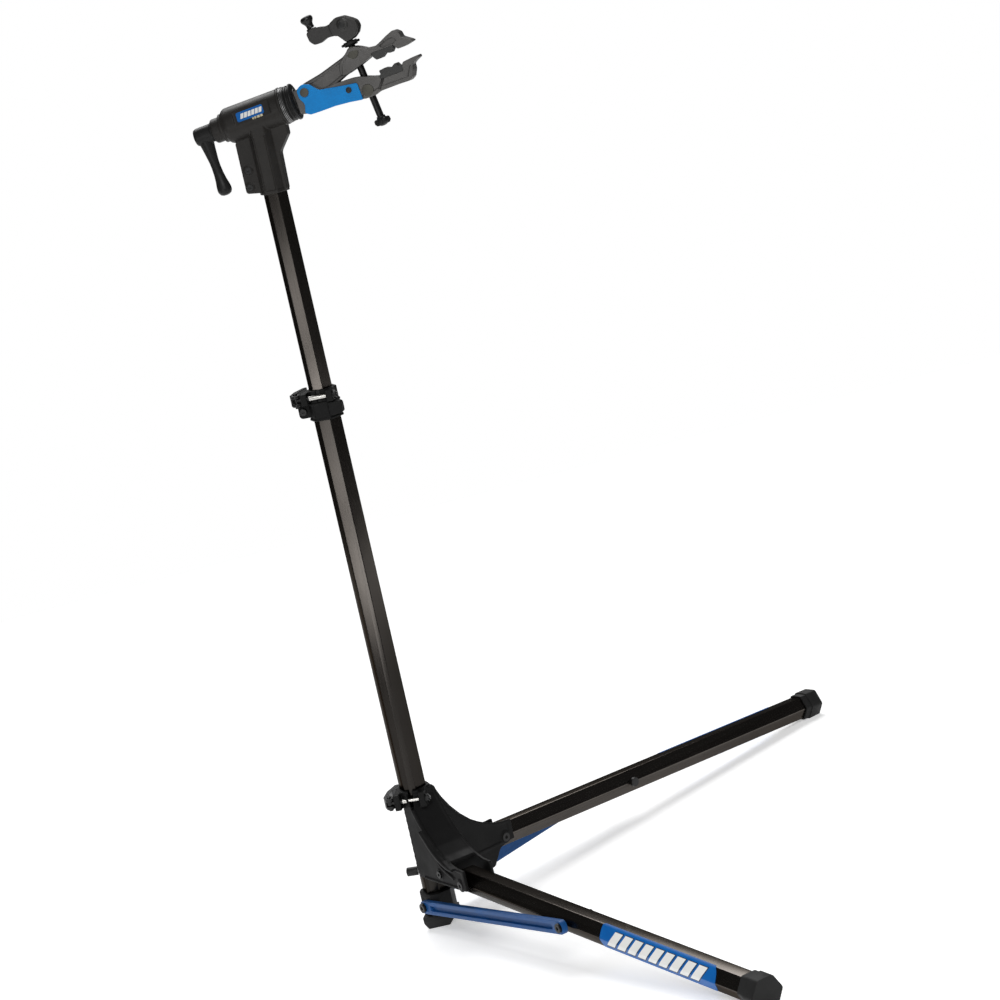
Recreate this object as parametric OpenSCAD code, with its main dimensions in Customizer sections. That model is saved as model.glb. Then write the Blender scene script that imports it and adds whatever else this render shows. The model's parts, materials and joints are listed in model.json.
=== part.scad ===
// Folding bicycle repair stand: a leaning hexagonal mast, two folding legs with
// struts, and a screw-and-cam tube clamp in a turning head.
// The origin is the middle of the mast foot's sole, +X is forward, +Z is up.

/* [Mast] */
// Forward lean of the mast, in degrees
mast_lean = 4.67; // [0:0.01:10]
// Lower tube: centre to its front and rear corners
lower_a = 20; // [15:0.5:28]
// Lower tube: half length of its side flats
lower_b = 9; // [6:0.5:14]
// Lower tube: centre to its side flats
lower_h = 19.5; // [14:0.5:28]
// Height along the mast where the lower tube ends
lower_top = 776; // [600:1:900]
// Upper tube: centre to its front and rear corners
upper_a = 17.2; // [12:0.1:24]
// Upper tube: half length of its side flats
upper_b = 7.6; // [5:0.1:12]
// Upper tube: centre to its side flats
upper_h = 16.8; // [12:0.1:24]
// Height along the mast where the upper tube starts, inside the lower tube
upper_start = 525; // [450:1:620]
// Height along the mast where the upper tube ends, inside the head
upper_end = 1150; // [1110:1:1160]
// Wall of the mast and leg tubes
tube_wall = 2; // [1.2:0.1:3]

/* [Legs] */
// Angle of each leg away from straight ahead, in degrees
leg_splay = 48.8; // [35:0.1:60]
// Downward pitch of the legs in the mast's frame, in degrees
leg_pitch = 2.1; // [0:0.1:6]
// Leg pivot: distance from the mast axis
pivot_out = 124; // [80:1:140]
// Leg pivot: height along the mast
pivot_up = 86.7; // [70:0.1:110]
// Leg tube: centre to its side corners
leg_a = 19.5; // [14:0.5:26]
// Leg tube: half length of its top and bottom flats
leg_b = 9.5; // [6:0.5:14]
// Leg tube: centre to its top and bottom flats
leg_h = 17; // [12:0.5:24]
// Leg length from the pivot to the end of the tube
leg_len = 661; // [500:1:800]
// Distance from the leg pivot to the strut bolt
strut_on_leg = 261.2; // [200:0.1:340]

/* [Struts] */
// Strut rear pivot: distance from the mast axis
strut_out = 8.5; // [0:0.1:30]
// Strut rear pivot: height along the mast
strut_up = 34.3; // [25:0.1:60]
// Height of the strut bar
strut_high = 19; // [12:0.5:26]
// Inner face of the strut, beside the leg
strut_face = 22.4; // [21:0.1:30]
// Thickness of the strut
strut_thick = 7.6; // [5:0.1:12]

/* [Hub] */
// Bottom of the hub casting along the mast
hub_low = 79; // [70:1:100]
// Top of the hub casting along the mast
hub_high = 209; // [180:1:240]
// Bottom of the hub's clamp band
hub_band = 184; // [170:1:200]
// Inner face of the wing cheeks, beside the leg
cheek_in = 20; // [19:0.1:24]
// Thickness of the wing cheeks
cheek_wall = 3.5; // [2.5:0.1:6]

/* [Head] */
// Barrel centre: distance in front of the foot
barrel_x = 97.5; // [60:0.5:140]
// Barrel centre: height above the floor
barrel_z = 1181.5; // [1000:0.5:1300]
// Upward tilt of the barrel, in degrees
barrel_tilt = 3.45; // [0:0.05:10]
// Barrel radius
barrel_r = 25; // [20:0.5:32]
// Spindle radius inside the barrel
spindle_r = 14; // [10:0.5:18]

/* [Clamp] */
// Jaw pivot in the barrel's frame: forward and up
jaw_pivot = [76.1, 6.9];
// Upper trunnion in the barrel's frame: forward and up
upper_swivel = [157.1, 34.2];
// Lower trunnion in the barrel's frame: forward and up
lower_swivel = [159, -20];
// Half width of the jaws
jaw_half = 14; // [10:0.5:20]
// Clamp screw radius
screw_r = 4.8; // [4:0.1:7]
// Trunnion radius
trunnion_r = 8; // [6:0.1:10]

/* [Hidden] */
$fn = 48;
fit = 0.05;
slide = 0.35;
bolt_r = 4;
leg_axis_q = [pivot_out + strut_on_leg * cos(leg_pitch), pivot_up - strut_on_leg * sin(leg_pitch)];
strut_span = norm(leg_axis_q - [strut_out, strut_up]);
strut_rise = atan2(leg_axis_q[1] - strut_up, leg_axis_q[0] - strut_out);
screw_lean = atan2(upper_swivel[0] - lower_swivel[0], upper_swivel[1] - lower_swivel[1]);

mast_lower_tube();
mast_foot();
strut_anchor();
anchor_bolts();
travel_stop();
collar_base();
collar_clamp();
collar_bushing();
collar_tab_screw();
collar_skewer();
collar_nut();
collar_lever();
leg_hub();
hub_skewer();
hub_nut();
hub_lever();
leg_pivot_bolts();
hub_screws();
leg_tube(-1);  // right_leg_tube
leg_insert(-1);  // right_leg_insert
leg_cap(-1);  // right_leg_cap
strut_nut(-1);  // right_strut_nut
strut(-1);  // right_strut
strut_bolt(-1);  // right_strut_bolt
leg_tube(1);  // left_leg_tube
leg_insert(1);  // left_leg_insert
leg_cap(1);  // left_leg_cap
strut_nut(1);  // left_strut_nut
strut(1);  // left_strut
strut_bolt(1);  // left_strut_bolt
mast_upper_tube();
slide_plug();
head_casting();
head_clamp_screws();
name_plate();
bright_ring();
clamp_spindle();
lower_jaw();
jaw_cover();
jaw_pivot_pin();
cover_rivets();
lower_pad();
upper_arm();
upper_jaw();
upper_pad();
trunnion(upper_swivel, screw_r + fit);  // upper_trunnion
trunnion(lower_swivel, screw_r + 0.5);  // lower_trunnion
clamp_screw();
screw_stop();
thrust_washer();
cam_pin();
crank_lever();
crank_knob();
lock_handle();
handle_grip();

// ---- outlines -------------------------------------------------------------

function unit(v) = v / norm(v);

// Points of the arc that rounds corner p, between neighbours q and s
function corner(p, q, s, n) =
    let (c = [p[0], p[1]],
         u = unit([q[0], q[1]] - c),
         v = unit([s[0], s[1]] - c),
         half = acos(u * v) / 2,
         mid = c + unit(u + v) * p[2] / sin(half),
         a = c + u * p[2] / tan(half) - mid,
         b = c + v * p[2] / tan(half) - mid,
         start = atan2(a[1], a[0]),
         turn = atan2(a[0] * b[1] - a[1] * b[0], a * b))
    [for (k = [0:n]) mid + p[2] * [cos(start + turn * k / n), sin(start + turn * k / n)]];

// An outline given as [x, y] or [x, y, corner radius]
function soft(pts, n = 4) =
    [for (i = [0:len(pts) - 1])
        let (p = pts[i], q = pts[(i + len(pts) - 1) % len(pts)], s = pts[(i + 1) % len(pts)])
        each (p[2] == undef ? [[p[0], p[1]]] : corner(p, q, s, n))];

// Hexagon of the tubes: corners at +-a, flats at +-h that run from -b to b
function hexagon(a, b, h, r) =
    soft([[a, 0, r], [b, h, r], [-b, h, r], [-a, 0, r], [-b, -h, r], [b, -h, r]]);

function grown(a, b, h, g, r) = hexagon(a + g * 1.15, b + g * 0.57, h + g, r);

// Height of the floor under a point of the mast's frame
function floor_at(x) = x * tan(mast_lean);

// ---- frames and simple solids ---------------------------------------------

module mast() rotate([0, mast_lean, 0]) children();
module leg_plane(side) mast() rotate([0, 0, side * leg_splay]) children();
module leg(side) leg_plane(side) translate([pivot_out, 0, pivot_up]) rotate([0, leg_pitch, 0]) children();
module barrel() translate([barrel_x, 0, barrel_z]) rotate([0, -barrel_tilt, 0]) children();
module screw_line()
    barrel() translate([lower_swivel[0], 0, lower_swivel[1]]) rotate([0, screw_lean, 0]) children();
module knob_line() barrel() translate([112.4, 0, 84.5]) rotate([0, -8, 0]) children();
module above_floor() intersection() {
    translate([-1000, -1000, 0]) cube([2500, 2000, 1600]);
    children();
}

// A plate with an x-z outline, from y0 to y1
module plate(pts, y0, y1) translate([0, y1, 0]) rotate([90, 0, 0]) linear_extrude(y1 - y0) polygon(pts);
// The same in a leg's plane, measured outwards from the leg's middle
module leaf(side, pts, o0, o1) plate(pts, min(side * o0, side * o1), max(side * o0, side * o1));
// A round bar along y
module bar_y(x, z, y0, y1, r) translate([x, y1, z]) rotate([90, 0, 0]) cylinder(r = r, h = y1 - y0);
module bar_out(side, x, z, o0, o1, r) bar_y(x, z, min(side * o0, side * o1), max(side * o0, side * o1), r);
// A turned piece about x, with an outline of [radius, x]
module turned(pts) rotate([0, 90, 0]) rotate_extrude() polygon(pts);
module prism(z0, z1) translate([0, 0, z0]) linear_extrude(z1 - z0) children();
// A tube along x whose hexagon has its corners at the sides
module leg_prism(x0, x1) translate([x0, 0, 0]) rotate([90, 0, 90]) linear_extrude(x1 - x0) children();

// ---- mast and foot --------------------------------------------------------

module mast_lower_tube() color([0.11, 0.1, 0.1]) difference() {
    mast() prism(20, lower_top) difference() {
        polygon(hexagon(lower_a, lower_b, lower_h, 2.5));
        polygon(grown(lower_a, lower_b, lower_h, -tube_wall, 1.5));
    }
    for (side = [-1, 1]) leg_plane(side) bar_out(side, strut_out, strut_up, 8, 30, bolt_r);
}

module mast_foot() color([0.04, 0.04, 0.04]) mast() intersection() {
    plate(soft([[-23, 18], [22.5, 18], [22.5, 12, 4], [13.5, floor_at(13.5), 2],
        [-18.6, floor_at(-18.6), 2], [-23, 8, 4]]), -24, 24);
    rotate([0, 0, 90]) plate(soft([[-24, 18.1], [24, 18.1], [24, 12, 4], [17, -6], [-17, -6], [-24, 12, 4]]),
        -30, 30);
}

module strut_anchor() color([0.07, 0.07, 0.07]) difference() {
    mast() prism(18, 52) polygon(soft([[23, -13, 3], [23, 13, 3], [8, 27, 3], [-4.3, 28.2, 2],
        [-24, 5.8, 3], [-24, -5.8, 3], [-4.3, -28.2, 2], [8, -27, 3]]));
    mast() prism(20, 60) polygon(hexagon(lower_a, lower_b, lower_h, 2.5));
    for (side = [-1, 1]) leg_plane(side) bar_out(side, strut_out, strut_up, 8, 30, bolt_r);
}

module anchor_bolts() color([0.1, 0.1, 0.1]) for (side = [-1, 1]) leg_plane(side) {
    bar_out(side, strut_out, strut_up, 14, 30.5, bolt_r);
    difference() {
        bar_out(side, strut_out, strut_up, 30.4, 34, 7);
        bar_out(side, strut_out, strut_up, 32, 35, 2.5);
    }
}

module travel_stop() color([0.07, 0.07, 0.07]) mast() difference() {
    translate([-20.6, 0, 82.4]) rotate([0, -90, 0]) union() {
        cylinder(r = 6.4, h = 15.5);
        cylinder(r = 4.6, h = 16.2);
    }
    prism(60, 100) polygon(hexagon(lower_a, lower_b, lower_h, 2.5));
}

module collar_base() color([0.08, 0.08, 0.08]) mast() difference() {
    union() {
        prism(757, 783) polygon(grown(lower_a, lower_b, lower_h, 3.6, 4));
        plate(soft([[-37, 762, 5], [-18, 762], [-18, 781], [-37, 781, 5]]), -7, 7);
        plate(soft([[12, 762, 3], [31, 764, 4], [31, 781, 4], [12, 782, 2]]), -27, -14);
    }
    prism(750, 790) polygon(hexagon(lower_a, lower_b, lower_h, 2.5));
    bar_y(-30, 771.5, -20, 20, 2.5);
}

module collar_clamp() color([0.09, 0.09, 0.09]) mast() clamp_ring(783, 800, 3);

// A split band round the mast with two lugs on the near side
module clamp_ring(z0, z1, wall) difference() {
    union() {
        prism(z0, z1) polygon(grown(lower_a, lower_b, lower_h, wall, 4));
        for (x = [-24, 13]) translate([x, -33, z0 + 0.5]) cube([9, 27, z1 - z0 - 1]);
    }
    prism(z0 - 1, z1 + 1) polygon(hexagon(lower_a, lower_b, lower_h, 2.5));
    translate([-3, -40, z0 - 1]) cube([6, 25, z1 - z0 + 2]);
    translate([-30, -27, (z0 + z1) / 2]) rotate([0, 90, 0]) cylinder(r = 3, h = 60);
}

module collar_bushing() color([0.05, 0.05, 0.05]) mast() prism(lower_top, 800) difference() {
    polygon(hexagon(lower_a, lower_b, lower_h, 2.5));
    polygon(grown(upper_a, upper_b, upper_h, slide, 2));
}

module collar_tab_screw() color([0.15, 0.15, 0.15]) mast() {
    bar_y(-30, 771.5, -9, 9, 2.5);
    for (y = [-10.2, 7]) difference() {
        bar_y(-30, 771.5, y, y + 3.2, 5);
        bar_y(-30, 771.5, -12, -8.5, 1.8);
    }
}

module collar_skewer() color([0.75, 0.75, 0.76]) mast() skewer(791.5);
module hub_skewer() color([0.75, 0.75, 0.76]) mast() skewer(196.5);
module collar_nut() color([0.7, 0.7, 0.72]) mast() nut(791.5);
module hub_nut() color([0.7, 0.7, 0.72]) mast() nut(196.5);
module collar_lever() color([0.06, 0.06, 0.06]) mast() lever(791.5);
module hub_lever() color([0.06, 0.06, 0.06]) mast() lever(196.5);

// The skewer runs along x at the lugs, with a cross eye at its lever end
module skewer(z) {
    translate([-31, -27, z]) rotate([0, 90, 0]) cylinder(r = 3, h = 60);
    translate([-31, -27, z - 10.5]) cylinder(r = 3.2, h = 21);
}

module nut(z) difference() {
    translate([22.1, -27, z]) rotate([0, 90, 0]) union() {
        cylinder(r = 6, h = 5, $fn = 6);
        cylinder(r = 6.6, h = 1.2);
    }
    translate([0, -27, z]) rotate([0, 90, 0]) cylinder(r = 3, h = 29);
}

// Cam lever that lies round the back of the mast when it is shut; its forked head
// swings round the skewer's eye without touching the lug
module lever(z) translate([0, 0, z - 8]) difference() {
    linear_extrude(16) polygon(soft([[-24.6, -33.4, 6.3], [-37.4, -33.4, 6.3], [-37.4, -26.8, 1], [-41, -20, 6], [-41, 8, 16],
        [-34, 36, 2.8], [-27.5, 35, 2.6], [-34, 6, 12], [-34, -14, 8], [-24.6, -20, 3]]));
    translate([-31, -27, -1]) cylinder(r = 3.25, h = 18);
    translate([-31, -27, 4.6]) linear_extrude(6.8)
        polygon([[0, 3.4], [14, 3.4], [14, -12], [-14, -12], [-13.8, -4.1], [-1.7, 2.9]]);
}

// ---- hub ------------------------------------------------------------------

hub_line = [[16, 206, 3], [20, 203, 4], [28, 186, 20], [40, 167, 20], [54, 150, 20], [70, 135, 20],
    [88, 123, 20], [107, 115, 20], [122, 111.5, 20], [139, 110, 3]];
outer_cheek = soft(concat([[-6, 96, 6], [-6, 206, 3]], hub_line, [[139, 80, 3], [120, 79, 20], [14, 79, 10]]), 2);
inner_cheek = soft(concat([[2, 80], [2, 206]], hub_line,
    [[139, 80, 3], [112, 75, 10], [96, 52, 6], [84, 49, 6], [62, 62, 20], [44, 79, 14]]), 2);
web = soft([[16, 205.5], [19.5, 202.5], [27.5, 185.5, 20], [39.5, 166.5, 20], [53.5, 149.5, 20], [69.5, 134.5, 20],
    [87.5, 122.5, 20], [101, 117], [101, 111.5], [86, 117.5, 20], [67, 129.5, 20], [50, 145, 20],
    [36, 162, 20], [25, 181, 20], [16, 197]], 2);

module leg_hub() color([0.08, 0.08, 0.08]) difference() {
    union() {
        mast() prism(hub_low, hub_high) polygon(grown(lower_a, lower_b, lower_h, 4, 4));
        mast() for (x = [-24, 13]) translate([x, -33, hub_band + 1]) cube([9, 27, hub_high - hub_band - 2]);
        for (side = [-1, 1]) leg_plane(side) {
            leaf(side, outer_cheek, cheek_in, cheek_in + cheek_wall);
            leaf(side, inner_cheek, -cheek_in - cheek_wall, -cheek_in);
            leaf(side, soft([[44.5, 156, 2.5], [50, 149, 10], [72, 128, 10], [120, 111.5, 2.5], [121.5, 117.5, 2.5],
                [78, 133, 10], [56, 154, 10], [50, 161.5, 2.5]], 3), cheek_in + 3, cheek_in + 6);
            leaf(side, web, -cheek_in - 1, cheek_in + 1);
        }
    }
    mast() prism(0, 300) polygon(grown(lower_a, lower_b, lower_h, slide, 2.5));
    mast() translate([-50, -17, hub_low - 1]) cube([38.5, 34, hub_band - hub_low + 1]);
    mast() translate([-3, -40, hub_band]) cube([6, 21, 40]);
    mast() translate([-30, -27, 196.5]) rotate([0, 90, 0]) cylinder(r = 3, h = 60);
    for (side = [-1, 1]) leg_plane(side) bar_y(pivot_out, pivot_up, -40, 40, bolt_r);
    for (side = [-1, 1]) leg_plane(side) bar_out(side, 69.7, 94.1, 10, 40, 2.5);
}

module leg_pivot_bolts() color([0.12, 0.12, 0.12]) for (side = [-1, 1]) leg_plane(side) difference() {
    union() {
        bar_y(pivot_out, pivot_up, -25.5, 25.5, bolt_r);
        bar_y(pivot_out, pivot_up, 23.5, 25.8, 6.5);
        bar_y(pivot_out, pivot_up, -25.8, -23.5, 6.5);
    }
    bar_y(pivot_out, pivot_up, 24, 27, 2.5);
    bar_y(pivot_out, pivot_up, -27, -24, 2.5);
}

module hub_screws() color([0.1, 0.1, 0.1]) for (side = [-1, 1]) leg_plane(side) difference() {
    union() {
        bar_out(side, 69.7, 94.1, 17, 24, 2.5);
        bar_out(side, 69.7, 94.1, 23.5, 26.5, 5.5);
    }
    bar_out(side, 69.7, 94.1, 24.5, 28, 2.2);
}

// ---- legs and struts ------------------------------------------------------

module leg_tube(side) color([0.11, 0.1, 0.1]) leg(side) difference() {
    leg_prism(-14, leg_len) difference() {
        polygon(hexagon(leg_a, leg_b, leg_h, 2.5));
        polygon(grown(leg_a, leg_b, leg_h, -tube_wall, 1.5));
    }
    bar_y(0, 0, -30, 30, bolt_r + fit);
    bar_out(side, strut_on_leg, 0, -30, 0, 3);
}

module leg_insert(side) color([0.15, 0.15, 0.15]) leg(side) difference() {
    leg_prism(-14, 22) polygon(grown(leg_a, leg_b, leg_h, -tube_wall, 1.5));
    bar_y(0, 0, -30, 30, bolt_r + fit);
}

module leg_cap(side) color([0.04, 0.04, 0.04]) above_floor() leg(side) difference() {
    union() {
        leg_prism(leg_len - 20, leg_len - 9) polygon(grown(leg_a, leg_b, leg_h, 2.4, 4));
        leg_prism(leg_len - 9, leg_len + 13) polygon(grown(leg_a, leg_b, leg_h, 4, 5));
    }
    leg_prism(leg_len - 30, leg_len) polygon(hexagon(leg_a, leg_b, leg_h, 2.5));
}

module strut_nut(side) color([0.12, 0.12, 0.12]) leg(side) translate([strut_on_leg, 0, 0]) {
    bar_out(side, 0, 0, -22, -17.4, 3);
    difference() {
        bar_out(side, 0, 0, -23.5, -18.5, 7);
        leg_prism(-20, 20) polygon(hexagon(leg_a, leg_b, leg_h, 2.5));
        bar_out(side, 0, 0, -22, -17.4, 3);
    }
}

module strut(side) color([0.1, 0.27, 0.5])
    leg_plane(side) translate([strut_out, 0, strut_up]) rotate([0, -strut_rise, 0]) difference() {
        leaf(side, soft([[-9, -strut_high / 2, 8], [strut_span + 9, -strut_high / 2, 8],
            [strut_span + 9, strut_high / 2, 8], [-9, strut_high / 2, 8]], 6),
            strut_face, strut_face + strut_thick);
        leaf(side, soft([[18, -4, 3.9], [strut_span - 18, -4, 3.9], [strut_span - 18, 4, 3.9], [18, 4, 3.9]], 6),
            strut_face + 3, strut_face + 10);
        for (x = [0, strut_span]) bar_out(side, x, 0, 10, 40, bolt_r + fit);
    }

module strut_bolt(side) color([0.1, 0.1, 0.1])
    leg_plane(side) translate([leg_axis_q[0], 0, leg_axis_q[1]]) difference() {
        union() {
            bar_out(side, 0, 0, 20.2, 30.5, bolt_r + fit);
            bar_out(side, 0, 0, strut_face + strut_thick, 33.5, 6.5);
        }
        bar_out(side, 0, 0, 31.5, 35, 2.5);
    }

// ---- upper mast and head --------------------------------------------------

module mast_upper_tube() color([0.13, 0.12, 0.115]) mast() prism(upper_start, upper_end) difference() {
    polygon(hexagon(upper_a, upper_b, upper_h, 2));
    polygon(grown(upper_a, upper_b, upper_h, -tube_wall, 1.2));
}

module slide_plug() color([0.06, 0.06, 0.06]) mast() {
    prism(upper_start - 4, upper_start) polygon(hexagon(upper_a, upper_b, upper_h, 2));
    prism(upper_start, upper_start + 25) polygon(grown(upper_a, upper_b, upper_h, -tube_wall, 1.2));
}

module head_casting() color([0.09, 0.09, 0.09]) difference() {
    union() {
        barrel() turned(soft([[0, -67], [17, -67, 3], [17, -50, 1], [25, -50, 9], [25, 40, 1.5], [0, 40]], 5));
        mast() prism(1078, 1172) polygon(grown(upper_a, upper_b, upper_h, 3.4, 3));
        mast() plate(soft([[-38, 1084, 4], [-15, 1081], [-15, 1170], [-38, 1154, 3]]), -8, 8);
        mast() plate(soft([[15, 1080], [20, 1080, 2], [21.5, 1131, 10], [38, 1153, 4], [38, 1170], [15, 1170]]),
            -9, 9);
    }
    mast() prism(1070, upper_end) polygon(hexagon(upper_a, upper_b, upper_h, 2));
    mast() translate([-40, -1, 1070]) cube([24, 2, 72]);
    barrel() translate([-48, 0, 0]) rotate([0, 90, 0]) cylinder(r = spindle_r + fit, h = 100);
    barrel() translate([-80, 0, 0]) rotate([0, 90, 0]) cylinder(r = 8 + fit, h = 40);
    for (p = [[-28, 1115], [-31, 1092]]) mast() bar_y(p[0], p[1], -20, 20, 2.5);
}

module head_clamp_screws() color([0.15, 0.15, 0.15])
    for (p = [[-28, 1115], [-31, 1092]]) mast() difference() {
        union() {
            bar_y(p[0], p[1], -9.5, 9.5, 2.5);
            bar_y(p[0], p[1], -11, -8, 4.5);
            bar_y(p[0], p[1], 8, 11, 4.5);
        }
        bar_y(p[0], p[1], -12, -9.5, 1.8);
    }

module name_plate() color([0.1, 0.35, 0.65]) barrel() intersection() {
    rotate([0, 90, 0]) translate([0, 0, -24]) difference() {
        cylinder(r = barrel_r + 0.8, h = 39);
        translate([0, 0, -1]) cylinder(r = barrel_r, h = 41);
    }
    translate([-24, -30, -1]) cube([39, 20, 14.5]);
}

module bright_ring() color([0.7, 0.7, 0.7]) barrel()
    turned(soft([[spindle_r + fit, 40], [25.2, 40, 0.8], [25.2, 43.2, 0.8], [24, 44, 0.4], [24, 46.6], [spindle_r + fit, 46.6]], 3));

module clamp_spindle() color([0.08, 0.08, 0.08]) barrel() difference() {
    turned(soft([[0, -46], [spindle_r, -46, 1], [spindle_r, 47], [24.5, 47, 1.5], [24.5, 50.5, 1], [23, 51.5, 0.5],
        [23, 53, 0.5], [25.5, 54, 1], [25.5, 57, 2], [17, 58.5, 1], [17, 60], [0, 60]], 3));
    translate([-50, 0, 0]) rotate([0, 90, 0]) cylinder(r = 5, h = 40);
}

module lower_jaw() color([0.28, 0.28, 0.28]) barrel() difference() {
    plate(soft([[60, -19, 1], [68, -21, 3], [88, -22.5], [110, -22.5], [141, -26, 20], [152, -29.6, 6],
        [162, -30, 6], [172, -27, 20], [203, -26.8, 20], [218, -27.4, 4], [224, -24, 6], [228.5, -15, 8],
        [229.4, -8.2, 2], [233, -5.6, 1], [241, -2.2, 1], [240.5, 1.2, 1], [230, 0.6, 10], [218, -0.6, 2], [215.3, -3.8, 1],
        [214, -12, 1], [181, -12, 1], [181, -7.5, 1], [170.6, -4.8, 10], [157.6, 0, 10], [141, 3, 20],
        [119, 4, 20], [98, 3, 10], [86, 14, 8], [76, 17.5, 9], [66, 14, 4], [60, 13, 1]]), -jaw_half + 0.5, jaw_half - 0.5);
    plate(soft([[66.5, -30 + 12.5, 2], [148, -17.5, 2], [148, 30], [66.5, 30]]), -9.5, 9.5);
    bar_y(jaw_pivot[0], jaw_pivot[1], -20, 20, bolt_r);
    bar_y(lower_swivel[0], lower_swivel[1], -20, 20, trunnion_r + fit);
    translate([148.5, -6.2, -50]) cube([21, 12.4, 60]);
    bar_y(135.1, -10.7, -20, 20, 2);
}

module jaw_cover() color([0, 0.42, 0.7]) barrel() {
    difference() {
        plate(soft([[67, -20, 3], [74, -24, 3], [88, -24.5, 20], [110, -24.6, 20], [131, -26.6, 20],
            [149, -29.5, 2], [149, -5.3, 3], [130, -2.5, 30], [111, 1, 30], [96, 3.5, 8], [86, 15, 6],
            [76.1, 18.5, 8], [66, 14, 8], [66, 2, 8], [71, -8, 8]]), -jaw_half - 2.5, jaw_half + 2.5);
        plate([[50, -22.5], [88, -22.5], [110, -22.5], [141, -26], [152, -29.6], [160, 40], [50, 40]],
            -jaw_half + 0.5, jaw_half - 0.5);
        plate([[50, -60], [50, -22.5], [67, -22.5], [67, -60]], -jaw_half, jaw_half);
        bar_y(jaw_pivot[0], jaw_pivot[1], -20, 20, bolt_r);
        bar_y(135.1, -10.7, -20, 20, 2);
    }
}

module jaw_pivot_pin() color([0.2, 0.2, 0.2]) barrel() {
    bar_y(jaw_pivot[0], jaw_pivot[1], -jaw_half - 2.6, jaw_half + 2.6, bolt_r);
    for (y = [-jaw_half - 4.2, jaw_half + 2.5]) bar_y(jaw_pivot[0], jaw_pivot[1], y, y + 1.7, 6);
}

module cover_rivets() color([0.1, 0.1, 0.12]) barrel() for (s = [-1, 1]) {
    bar_y(135.1, -10.7, min(s * 9.6, s * 16.6), max(s * 9.6, s * 16.6), 2);
    bar_y(135.1, -10.7, min(s * 16.5, s * 17.6), max(s * 16.5, s * 17.6), 4);
}

module lower_pad() color([0.05, 0.05, 0.05]) barrel() plate(soft([[181, -12, 1.2], [214, -12, 1.2], [215, -4, 1],
    [210, -3.6, 1], [207, 1.9, 1.5], [199, -3, 3], [191, 0.4, 1.5], [182.6, -0.6, 1.5], [183.2, -5.3, 1],
    [181, -7.4]]), -jaw_half + 1, jaw_half - 1);

arm_line = soft([[76.1, 18.4, 9], [104.5, 23.3, 60], [140, 33, 10], [150, 36, 2], [150, 12, 2], [136, 8.6, 20],
    [116, 1, 20], [96, -4, 10], [76.1, -4.6, 9], [64.6, 6.9, 9]]);

module upper_arm() color([0.3, 0.3, 0.3]) barrel() difference() {
    plate(arm_line, -9, 9);
    bar_y(jaw_pivot[0], jaw_pivot[1], -20, 20, bolt_r + fit);
    translate([146.4, -6.2, 0]) cube([21, 12.4, 60]);
    bar_y(upper_swivel[0], upper_swivel[1], -20, 20, trunnion_r + 0.5);
}

module upper_jaw() color([0.3, 0.3, 0.3]) barrel() difference() {
    plate(soft([[131, 11, 4], [137, 31, 14], [146.3, 35.3, 10], [153, 41, 5], [161, 41.8, 5], [167, 39, 6],
        [174, 33.8, 8], [179, 32, 8], [190.2, 31.5, 10], [198, 35, 20], [208.4, 39.7, 20], [220.2, 44, 5],
        [226.5, 38.5, 4], [227.6, 31.4, 4], [232, 28.2, 4], [238, 24, 1], [241, 20.8, 1], [228, 18.2, 6],
        [217.6, 17.8, 3], [213, 25, 1], [181, 25, 1], [181, 21.4, 1], [160.4, 14.5, 20], [140, 9.5, 4]]),
        -jaw_half, jaw_half);
    plate(arm_line, -9, 9);
    bar_y(upper_swivel[0], upper_swivel[1], -20, 20, trunnion_r + fit);
    translate([146.4, -6.2, 0]) cube([21, 12.4, 60]);
}

module upper_pad() color([0.05, 0.05, 0.05]) barrel() plate(soft([[181, 25, 1.2], [181, 21.5], [182.3, 17.9, 1],
    [185.2, 14, 2], [192, 14.2, 1.5], [199, 19, 3], [206.7, 16.2, 1.5], [211.6, 21.5, 1], [213, 25, 1.2]]),
    -jaw_half + 1, jaw_half - 1);

// ---- swivels, screw and crank ---------------------------------------------

module trunnion(at, bore) color([0.45, 0.45, 0.45]) barrel() difference() {
    bar_y(at[0], at[1], -jaw_half - 0.4, jaw_half + 0.4, trunnion_r);
    translate([at[0], 0, at[1]]) rotate([0, screw_lean, 0]) translate([0, 0, -20]) cylinder(r = bore, h = 40);
}

module clamp_screw() color([0.1, 0.1, 0.1]) screw_line() difference() {
    union() {
        translate([0, 0, -42]) cylinder(r = screw_r, h = 132);
        translate([0, 0, 90]) cylinder(r1 = screw_r, r2 = screw_r - 1.5, h = 11);
    }
    translate([0, 10, 94]) rotate([90, 0, 0]) cylinder(r = 3, h = 20);
}

module screw_stop() color([0.06, 0.06, 0.06]) screw_line() translate([0, 0, -52])
    rotate_extrude() polygon(soft([[0, 0], [5, 0, 3], [8.3, 5, 3], [8.3, 9, 2], [6, 11.5, 2], [6, 14], [screw_r, 14],
        [screw_r, 10], [0, 10]]));

module thrust_washer() color([0.07, 0.07, 0.07]) screw_line() translate([0, 0, 65.6])
    rotate_extrude() polygon(soft([[screw_r, 0], [9, 0, 0.5], [13.2, 1, 0.6], [13.2, 3.4, 0.6], [screw_r, 3.4]]));

module cam_pin() color([0.12, 0.12, 0.12]) screw_line() translate([0, 0, 94]) {
    bar_y(0, 0, -12.5, 12.5, 3);
    for (y = [-13.4, 12.2]) bar_y(0, 0, y, y + 1.2, 4.6);
}

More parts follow.
